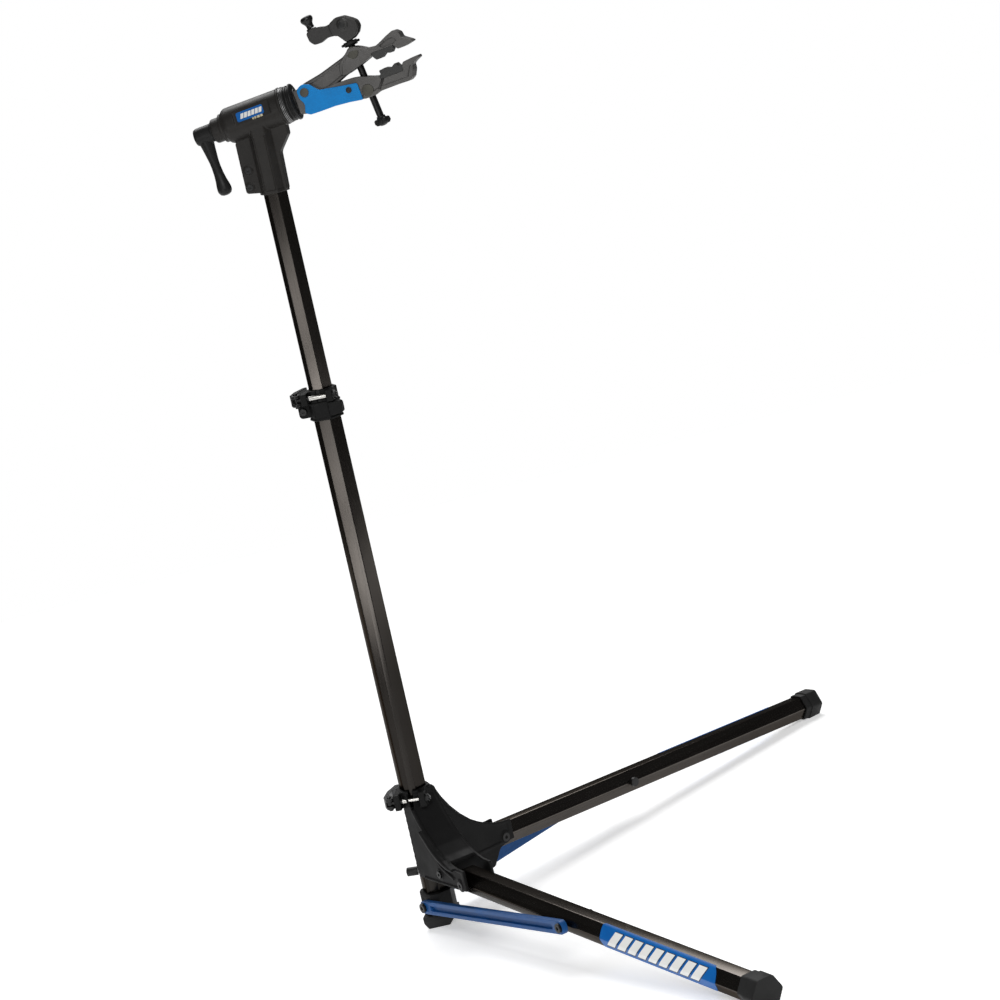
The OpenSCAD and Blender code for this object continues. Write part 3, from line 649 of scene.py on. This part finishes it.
PLATE = BARREL @ Matrix.Rotation(LABEL_LEAN, 4, "X").inverted()


def head_label():
    """The blue plate on the barrel with its row of bars, and a small tab below it."""
    outline = soft([(-24, -6.6, 2.5), (15.5, -6.6, 2.5), (15.5, 6.6, 2.5), (-24, 6.6, 2.5)])
    plate = slab("head_label", outline, -23.9, -22.6, PLATE)
    uv = plate.data.uv_layers.new(name="UVMap")
    back = PLATE.inverted()
    for loop in plate.data.loops:
        p = back @ plate.data.vertices[loop.vertex_index].co / MM
        uv.data[loop.index].uv = (p.x + 24, p.z)
    dress(plate, label_material("head_label_vinyl", 5.4, 6, 6, 4.4, -3.4, 3.6, 0.3, 0.3), "upper_mast",
          "name_plate")
    tab = slab("head_label_tab", soft([(-3, -9.6, 1), (12.5, -9.6, 1), (12.5, -6.4, 1), (-3, -6.4, 1)]),
               -23.7, -22.6, PLATE)
    m = Nodes("tab_print")
    bars = m.ramp(m.noise(900, 1, 0.4, m.stretch((1, 0.05, 0.05))), [(0.46, 0), (0.5, 1)])
    m.color(m.mix(bars, (0.03, 0.03, 0.03), (0.62, 0.55, 0.36)))
    m.rough(m.ramp(m.noise(60), [(0.3, 0.35), (0.7, 0.5)]))
    dress(tab, m.mat, "upper_mast")


head_label()


# ---- castings of the hub, collars and head ----------------------------------

def hub_casting():
    """The CAD hub with rims along the wings, bosses at the bolts, a round rib and lips on the band."""
    adds = [copy_of("leg_hub")]
    rim = [(16, 205), (20, 202.5), (28, 185.4), (40, 166.5), (54, 149.4), (70, 134.4), (88, 122.4),
           (107, 114.4), (122, 110.8), (139, 109.5)]
    low = [(139, 105.8), (121, 107.2), (105, 110.6), (86, 118.6), (68, 130.4), (51.6, 145.6), (37.4, 162.8),
           (25, 182.4), (17, 198.5), (14, 199)]
    for side, sgn in SIDES.items():
        space = WING[side]
        for a, b in ((22.9, 24.7), (-24.7, -22.9)):
            lo, hi = sorted((sgn * a, sgn * b))
            adds.append(slab("rim", soft(rim + low, 1.2), lo, hi, space))
            adds.append(slab("end_band", soft([(132, 80), (139, 80), (139, 110), (132, 111)], 1), lo, hi,
                             space))
            adds.append(lathe("pivot_boss", [(0, -1), (9.5, -1), (9.5, 0.6), (8.6, 1.3), (0, 1.3)],
                              along_y(space, 124, 86.7, sgn if a > 0 else -sgn)
                              @ Matrix.Translation((0, 0, 23.4 * MM)), 40))
            adds.append(slab("foot_rim", soft([(20, 79), (62, 79), (118, 79.5), (138, 80), (138, 83),
                                               (118, 82.8), (62, 82.5), (20, 82.5)], 1),
                             lo, hi, space))
        adds.append(lathe("screw_boss", [(0, -1), (9, -1), (9, 0.3), (8, 1.0), (0, 1.0)],
                          along_y(space, 69.7, 94.1, sgn) @ Matrix.Translation((0, 0, 23.4 * MM)), 40))
        rib = curve([(47, 157), (56, 146.5), (70, 132), (88, 119.5), (104, 112.8), (119, 111)], 5)
        swell = [5.2 * min(1, 0.35 + 2.4 * math.sin(math.pi * i / (len(rib) - 1))) for i in range(len(rib))]
        adds.append(sweep("round_rib", [(x, sgn * 27.4, z) for x, z in rib], [(4.4, h) for h in swell],
                          space, 20, 2.2))
        lo, hi = sorted((sgn * 23, sgn * 25.6))
        adds.append(slab("groove_lip", soft([(34, 149), (40, 152), (80, 108), (110, 96), (108, 92),
                                             (78, 103)], 1.5), lo, hi, space))
    for z in (186.0, 207.0):
        adds.append(column("band_lip", soft([(-26.3, 0), (-12.3, -24.6), (12.3, -24.6), (26.3, 0),
                                             (12.3, 24.6), (-12.3, 24.6)], 5),
                           z - 1.6, z + 1.6, MAST))
    trims = [slab("rib_end", [(66, 144.5), (80, 132.6), (96, 120.5), (110, 114.2), (122, 111.2), (140, 109.8),
                              (160, 109.8), (160, 170), (66, 170)],
                  -32, 32, WING[side]) for side in SIDES]
    ends = [slab("outer_end", [(90, 118.6), (98, 112), (107, 107.5), (120, 105), (160, 103.5), (160, 170),
                               (90, 170)],
                 16, 34, WING["left"])]
    bore = column("bore_cut", soft([(-20.45, 0), (-9.25, -19.9), (9.25, -19.9), (20.45, 0), (9.25, 19.9),
                                    (-9.25, 19.9)], 2.5), 60, 230, MAST)
    split = column("split_cut", [(-3, -40), (3, -40), (3, -19), (-3, -19)], 184, 215, MAST)
    hub = cast("hub_casting", adds, cuts=trims, late_cuts=[bore, split] + ends, voxel=0.9, rounds=3, thin=0.5)
    dress(hub, "casting", "hub", "leg_hub")


def head():
    """The CAD head with rings on the barrel, ribs on the sleeve, and a shallow pocket for the label."""
    adds = [copy_of("head_casting")]
    adds.append(column("sleeve_lip", soft([(-21.6, 0), (-10, -21.2), (10, -21.2), (21.6, 0), (10, 21.2),
                                           (-10, 21.2)], 3), 1078, 1082.5, MAST))
    adds.append(lathe("nose_ring", [(15, 36.5), (25.9, 36.5), (25.9, 39.6), (15, 39.6), (15, 36.5)],
                      along_x(BARREL), 96))
    adds.append(lathe("tail_ring", [(10, -53.5), (20, -53.5), (20, -49), (10, -49), (10, -53.5)],
                      along_x(BARREL), 96))
    for y in (-21.6, 20.0):
        adds.append(slab("sleeve_rib", soft([(-9.5, 1083), (-7.8, 1083), (-7.8, 1158), (-9.5, 1158)], 0.5), y,
                         y + 1.6, MAST))
        adds.append(slab("sleeve_rib", soft([(7.8, 1083), (9.5, 1083), (9.5, 1158), (7.8, 1158)], 0.5), y,
                         y + 1.6, MAST))
    for sgn in (-1, 1):
        lo, hi = sorted((sgn * 8, sgn * 9.6))
        for x, z in ((-28, 1115), (-31, 1092)):
            adds.append(lathe("screw_boss", [(0, 0), (6.2, 0), (6.2, 1.6), (0, 1.6)],
                              along_y(MAST, x, z, sgn) @ Matrix.Translation((0, 0, 7.6 * MM)), 32))
    pocket = slab("label_pocket", soft([(-29, -13, 2), (25, -13, 2), (25, 13, 2), (-29, 13, 2)]), -40, -22.8,
                  PLATE)
    bore = lathe("spindle_bore", [(0, -46), (14.1, -46), (14.1, 60), (0, 60)], along_x(BARREL), 64)
    tube = column("tube_cut", soft([(-17.2, 0), (-7.6, -16.8), (7.6, -16.8), (17.2, 0), (7.6, 16.8),
                                    (-7.6, 16.8)], 2), 1060, 1150, MAST)
    obj = cast("head_casting_body", adds, cuts=[pocket], late_cuts=[bore, tube], voxel=0.7, rounds=3,
               thin=0.5)
    dress(obj, "head", "upper_mast", "head_casting")


def collars():
    """Both halves of the mast collar, the lower one with a lip at either end."""
    for name, body, lips in (("collar_base", "base", (758.4, 781.6)), ("collar_clamp", "base", ())):
        adds = [copy_of(name)]
        for z in lips:
            adds.append(column("lip", soft([(-25.2, 0), (-11.6, -23.9), (11.6, -23.9), (25.2, 0),
                                            (11.6, 23.9), (-11.6, 23.9)], 5), z - 1.4, z + 1.4, MAST))
        cut = column("cut", soft([(-20.1, 0), (-9.05, -19.6), (9.05, -19.6), (20.1, 0), (9.05, 19.6),
                                  (-9.05, 19.6)], 2.5), 740, 820, MAST)
        obj = cast(name + "_body", adds, late_cuts=[cut], voxel=0.6, rounds=3, thin=0.5)
        dress(obj, "casting", body, name)


def cam_lever(name, body, z):
    """The forked lever with softened edges and a finger grip on its outer face."""
    space = MAST @ Matrix.Translation((0, 0, z * MM))
    grips = [column("grip", soft([(-41.6, y, 0.5), (-40.2, y, 0.5), (-40.2, y + 1.6, 0.5),
                                  (-41.6, y + 1.6, 0.5)]), -4.4, 4.4, space)
             for y in (-9, -5.5, -2)]
    obj = cast(name + "_arm", [copy_of(name)] + grips, voxel=0.45, rounds=3, thin=0.4)
    dress(obj, "lever", body, name)


hub_casting()
head()
collars()
cam_lever("collar_lever", "collar_cam", 791.5)
cam_lever("hub_lever", "hub_cam", 196.5)


# ---- clamp head -------------------------------------------------------------

def jaws():
    """Forged jaws and arm with raised edges and hollows, and the bent sheet cover."""
    upper = [copy_of("upper_jaw")]
    for lo, hi in ((-14.9, -13.2), (13.2, 14.9)):
        upper.append(slab("shoulder", soft([(136, 27), (146, 35.2), (153, 40.6), (161, 41.4), (168, 38.4),
                                            (176, 33.6), (190, 32), (203, 36.5),
                                            (203, 33.2), (190, 28.6), (176, 29.8), (168, 33.5), (163, 36),
                                            (154, 36.5), (147, 31.5), (139, 24.5)], 2), lo, hi, BARREL))
        upper.append(slab("root_edge", soft([(131.4, 12), (134, 11), (136.5, 20), (140.5, 28), (138, 30),
                                             (133, 22)], 1), lo, hi, BARREL))
    cuts = [slab("hollow", soft([(194, 30), (206, 34.5), (216, 35.5), (220, 29), (212, 26.6), (198, 26.4)],
                                2.5), lo, hi, BARREL)
            for lo, hi in ((-20, -11.4), (11.4, 20))]
    cuts.append(lathe("swivel_bore", [(0, -20), (8.15, -20), (8.15, 20), (0, 20)],
                      along_y(BARREL, 157.1, 34.2), 48))
    obj = cast("upper_jaw_forging", upper, late_cuts=cuts, voxel=0.5, rounds=3, thin=0.5)
    dress(obj, "forged", "moving_jaw", "upper_jaw")

    arm = [copy_of("upper_arm")]
    for lo, hi in ((-9.9, -8.2), (8.2, 9.9)):
        arm.append(slab("arm_edge", soft([(80, 17.4), (105, 22.3), (141, 32.2), (141, 28.8), (105, 19),
                                          (82, 14)], 1), lo, hi, BARREL))
        arm.append(slab("arm_edge", soft([(96, -3), (116, 2), (138, 9.6), (138, 13), (115, 5.4), (96, 0.4)],
                                         1), lo, hi, BARREL))
    pin = lathe("pin_bore", [(0, -20), (4.05, -20), (4.05, 20), (0, 20)], along_y(BARREL, 76.1, 6.9), 40)
    obj = cast("upper_arm_forging", arm, late_cuts=[pin], voxel=0.5, rounds=3, thin=0.5)
    dress(obj, "forged", "moving_jaw", "upper_arm")

    lower = [copy_of("lower_jaw")]
    for lo, hi in ((-14.3, -12.8), (12.8, 14.3)):
        lower.append(slab("belly", soft([(150, -28.6), (162, -29.4), (173, -26.6), (203, -26.4), (218, -27),
                                         (223.4, -23.6), (228, -15), (228.8, -9),
                                         (225, -9), (221, -16), (218, -21.6), (203, -21.4), (176, -21),
                                         (165, -24.4), (150, -24)], 1.5), lo, hi, BARREL))
    cuts = [slab("hollow", soft([(184, -12.5), (206, -12.5), (214, -14.5), (212, -19), (184, -18.6)], 1.8),
                 lo, hi, BARREL)
            for lo, hi in ((-20, -11.2), (11.2, 20))]
    cuts += [slab("seam", soft([(184.4, -9), (187.6, -10.4), (176.4, -24.6), (172.6, -23.4)], 0.8), lo, hi,
                  BARREL) for lo, hi in ((-20, -11.6), (11.6, 20))]
    cuts.append(lathe("swivel_bore", [(0, -20), (8.15, -20), (8.15, 20), (0, 20)], along_y(BARREL, 159, -20),
                      48))
    obj = cast("lower_jaw_forging", lower, late_cuts=cuts, voxel=0.5, rounds=3, thin=0.5)
    dress(obj, "forged", "clamp_head", "lower_jaw")

    bends = [slab("bend", [(-30, -14), (90, -14), (90, 0), (-30, 0)], *sorted((0, sgn * 9)),
                  BARREL @ Matrix.Translation(Vector((76, sgn * 16.6, -15.4)) * MM)
                  @ Matrix.Rotation(math.radians(4.7), 4, "Y")
                  @ Matrix.Rotation(math.radians(sgn * 15), 4, "X")) for sgn in (-1, 1)]
    cover = cast("jaw_cover_shell", [copy_of("jaw_cover")], cuts=bends, voxel=0.45, rounds=4, thin=0.5)
    dress(cover, "cover", "clamp_head", "jaw_cover")


def crank():
    """The cam crank with its bosses, forked over the screw's eye, and the flared knob."""
    adds = [copy_of("crank_lever")]
    for sgn in (-1, 1):
        adds.append(lathe("cam_boss", [(0, -0.6), (7.4, -0.6), (7.4, 0.5), (6.6, 1.1), (0, 1.1)],
                          along_y(BARREL, 157.3, 74.2, sgn) @ Matrix.Translation((0, 0, 12 * MM)), 40))
    adds.append(lathe("knob_seat", [(0, 0), (7, 0), (6.6, 2.6), (0, 2.6)],
                      BARREL @ Matrix.Translation((112.3 * MM, 0, 81.6 * MM)), 40))
    slot_cut = slab("slot_cut", [(143.6, 40), (190, 40), (190, 77.5), (143.6, 77.5)], -5.3, 5.3, BARREL)
    obj = cast("crank_arm", adds, late_cuts=[slot_cut], voxel=0.5, rounds=6, thin=0.5)
    dress(obj, "crank", "crank", "crank_lever")
    knob = lathe("crank_knob_cap", [(0, 0), (5.6, 0), (5.2, 1.4), (4.9, 4), (5.6, 6.8), (7.4, 9), (8.7, 11),
                                    (9, 13.2), (8.4, 15.4), (6.6, 17), (3.4, 17.4), (0, 17.4)],
                 BARREL @ Matrix.Translation((112.4 * MM, 0, 84.5 * MM)) @ Matrix.Rotation(KNOB_LEAN, 4, "Y"),
                 48, 60)
    modify(knob, "SUBSURF", levels=1, render_levels=1)
    dress(knob, "lever", "knob", "crank_knob")


def screw_fittings():
    """The stack of washers under the crank and the winged stop at the screw's lower end."""
    stack = lathe("thrust_stack", [(4.9, 63.6), (8.6, 63.6), (9.4, 64.4), (9.4, 65.4), (12.6, 65.5),
                                   (13.2, 66.1), (13.2, 68.2), (12.6, 68.8),
                                   (9.6, 69), (9.6, 70.2), (4.9, 70.2), (4.9, 63.6)], SCREW, 64)
    modify(stack, "BEVEL", width=0.25 * MM, segments=2, limit_method="ANGLE")
    dress(stack, "plastic", "screw", "thrust_washer")
    ball = lathe("wing_nut_core", [(0, -52), (3.6, -51.6), (6.6, -50), (8.1, -47.4), (8.3, -44.6),
                                   (7.4, -41.8), (6.1, -40), (6.1, -38.1), (0, -38.1)], SCREW, 48)
    wings = [slab("wing", soft([(-11.4, -47), (-9, -50.2), (0, -50.8), (9, -50.2), (11.4, -47), (11, -42.4),
                                (8.6, -41), (0, -44), (-8.6, -41), (-11, -42.4)], 1.5),
                  -2.3, 2.3, SCREW @ Matrix.Rotation(math.radians(turn), 4, "Z")) for turn in (25, 115)]
    nut = cast("screw_wing_nut", [ball] + wings, voxel=0.4, rounds=4, thin=0.5)
    dress(nut, "plastic", "screw", "screw_stop")


def handle():
    """The lock lever behind the barrel: hub, collar and waisted grip as one piece."""
    space = BARREL @ Matrix.Translation((-82 * MM, 0, 0))
    grip = lathe("grip_core", [(0, -87), (4, -86.6), (7.4, -85), (9.6, -81.5), (10.1, -77.5), (9.5, -72.5),
                               (8, -65), (6.9, -56), (6.5, -46), (6.7, -38), (7.6, -30), (8.8, -20),
                               (10.2, -10), (10.2, 0), (0, 0)], space, 56)
    hubcap = lathe("handle_hub", [(0, -95), (8, -95), (11, -94), (12.4, -91), (12.7, -84), (12.7, -70),
                                  (12, -67.4), (0, -67.4)], along_x(BARREL), 64)
    collar = lathe("handle_collar", [(0, -69), (13.4, -69), (13.4, -67.2), (0, -67.2)], along_x(BARREL), 64)
    obj = cast("lock_lever", [grip, hubcap, collar], voxel=0.55, rounds=5, thin=0.5)
    dress(obj, "plastic", "head_lock", "lock_handle", "handle_grip")


def rings():
    """Three bright rings on a dark seat at the barrel's nose."""
    for i, (a, b, r) in enumerate(((40.1, 41.0, 25.2), (42.0, 43.0, 25.3), (44.0, 44.8, 24.9))):
        ring = lathe("barrel_ring_%d" % i, [(15, a), (r - 0.3, a), (r, a + 0.25), (r, b - 0.25), (r - 0.3, b),
                                            (15, b), (15, a)], along_x(BARREL), 128, 30)
        dress(ring, "ring", "upper_mast")
    seat = lathe("barrel_ring_seat", [(14.3, 39.9), (24.4, 39.9), (24.4, 46.7), (14.3, 46.7), (14.3, 39.9)],
                 along_x(BARREL), 128, 30)
    dress(seat, "plastic", "upper_mast", "bright_ring")


jaws()
crank()
screw_fittings()
handle()
rings()


# ---- stage ------------------------------------------------------------------

def stage_object(name, verts, faces, material):
    """A piece of the studio, which isn't part of the stand."""
    mesh = bpy.data.meshes.new(name)
    mesh.from_pydata(verts, [], faces)
    mesh.materials.append(material)
    obj = bpy.data.objects.new(name, mesh)
    scene.collection.objects.link(obj)
    return obj


paper = Nodes("studio_paper")
paper.color(paper.mix(paper.ramp(paper.noise(2.0, 2, 0.5), [(0.3, 0), (0.7, 1)]), (0.89, 0.89, 0.89),
                      (0.91, 0.91, 0.91)))
paper.set(Roughness=0.9, Specular_IOR_Level=0.1, Emission_Color=(1, 1, 1, 1), Emission_Strength=0.42)
# The floor's edges decide what the tubes mirror, so it stops short of the right and the front.
LEFT, RIGHT, FRONT, BACK = -5, 2.9, -1.35, 3.4
stage_object("studio_floor", [(LEFT, FRONT, 0), (RIGHT, FRONT, 0), (RIGHT, BACK, 0), (LEFT, BACK, 0)],
             [(0, 1, 2, 3)], paper.mat)

# A white drum round the studio that only the camera sees.
DRUM, DRUM_SIDES, DRUM_LOW, DRUM_HIGH = 16, 48, -3, 14

white = bpy.data.materials.new("studio_backdrop")
white.use_nodes = True
white.node_tree.nodes.clear()
glow = white.node_tree.nodes.new("ShaderNodeEmission")
white.node_tree.links.new(glow.outputs[0], white.node_tree.nodes.new("ShaderNodeOutputMaterial").inputs[0])
turns = [2 * math.pi * k / DRUM_SIDES for k in range(DRUM_SIDES)]
walls = [(k, (k + 1) % DRUM_SIDES, DRUM_SIDES + (k + 1) % DRUM_SIDES, DRUM_SIDES + k)
         for k in range(DRUM_SIDES)]
backdrop = stage_object("studio_backdrop",
                        [(DRUM * math.cos(a), DRUM * math.sin(a), z)
                         for z in (DRUM_LOW, DRUM_HIGH) for a in turns],
                        walls + [tuple(range(DRUM_SIDES)),
                                 tuple(range(2 * DRUM_SIDES - 1, DRUM_SIDES - 1, -1))],
                        white)
for kind in ("diffuse", "glossy", "transmission", "volume_scatter", "shadow"):
    setattr(backdrop, "visible_" + kind, False)


def light(name, kind, place, target, power, **settings):
    """One light aimed at a point, out of the camera's sight."""
    data = bpy.data.lights.new(name, kind)
    data.energy = power
    for key, value in settings.items():
        setattr(data, key, value)
    obj = bpy.data.objects.new(name, data)
    obj.location = place
    obj.rotation_euler = (Vector(target) - Vector(place)).to_track_quat("-Z", "Y").to_euler()
    obj.visible_camera = False
    scene.collection.objects.link(obj)


# A broad sun from above and behind, a fill from the front, two cards that the mast's near flat
# mirrors below and above the collar, and a weak strip behind that the legs' top flats mirror.
light("overhead", "SUN", (-0.5, 2.6, 4.0), (0.1, 0, 0.3), 2.3, angle=math.radians(44))
light("fill", "AREA", (1.2, -4.2, 3.4), (0.2, 0, 0.6), 125, shape="RECTANGLE", size=2.6, size_y=1.8)
light("low_card", "AREA", (-0.8, -3.6, 0.09), (0.1, 0, 0.5), 17, shape="RECTANGLE", size=1.9, size_y=0.5)
light("high_card", "AREA", (-0.8, -3.6, 0.92), (0.1, 0, 1.0), 8, shape="RECTANGLE", size=1.9, size_y=0.55)
light("back", "AREA", (0.3, 4.4, 0.7), (0.2, 0, 0.7), 1, shape="RECTANGLE", size=6.5, size_y=1.1)

world = bpy.data.worlds.new("studio")
world.use_nodes = True
world.node_tree.nodes["Background"].inputs[0].default_value = (1, 1, 1, 1)
world.node_tree.nodes["Background"].inputs[1].default_value = 0.07
scene.world = world
scene.view_settings.view_transform = "Standard"


# ---- camera -----------------------------------------------------------------

SENSOR = 36.0                        # millimetres
FOCAL = 2.7806                       # focal length over sensor width
DISTANCE = 3.875
TARGET = Vector((0.263, 0, 0.578))
turn, rise, roll = math.radians(12.166), math.radians(9.879), math.radians(-17.072)

camera_data = bpy.data.cameras.new("camera")
camera_data.sensor_width = SENSOR
camera_data.lens = SENSOR * FOCAL
camera_data.clip_end = 60
camera = bpy.data.objects.new("camera", camera_data)
scene.collection.objects.link(camera)
ahead = Vector((-math.sin(turn) * math.cos(rise), math.cos(turn) * math.cos(rise), -math.sin(rise)))
across = Vector((math.cos(turn), math.sin(turn), 0))
over = across.cross(ahead)
right = across * math.cos(roll) + over * math.sin(roll)
top = -across * math.sin(roll) + over * math.cos(roll)
camera.matrix_world = axes(right, top, -ahead, TARGET - DISTANCE * ahead)
scene.camera = camera
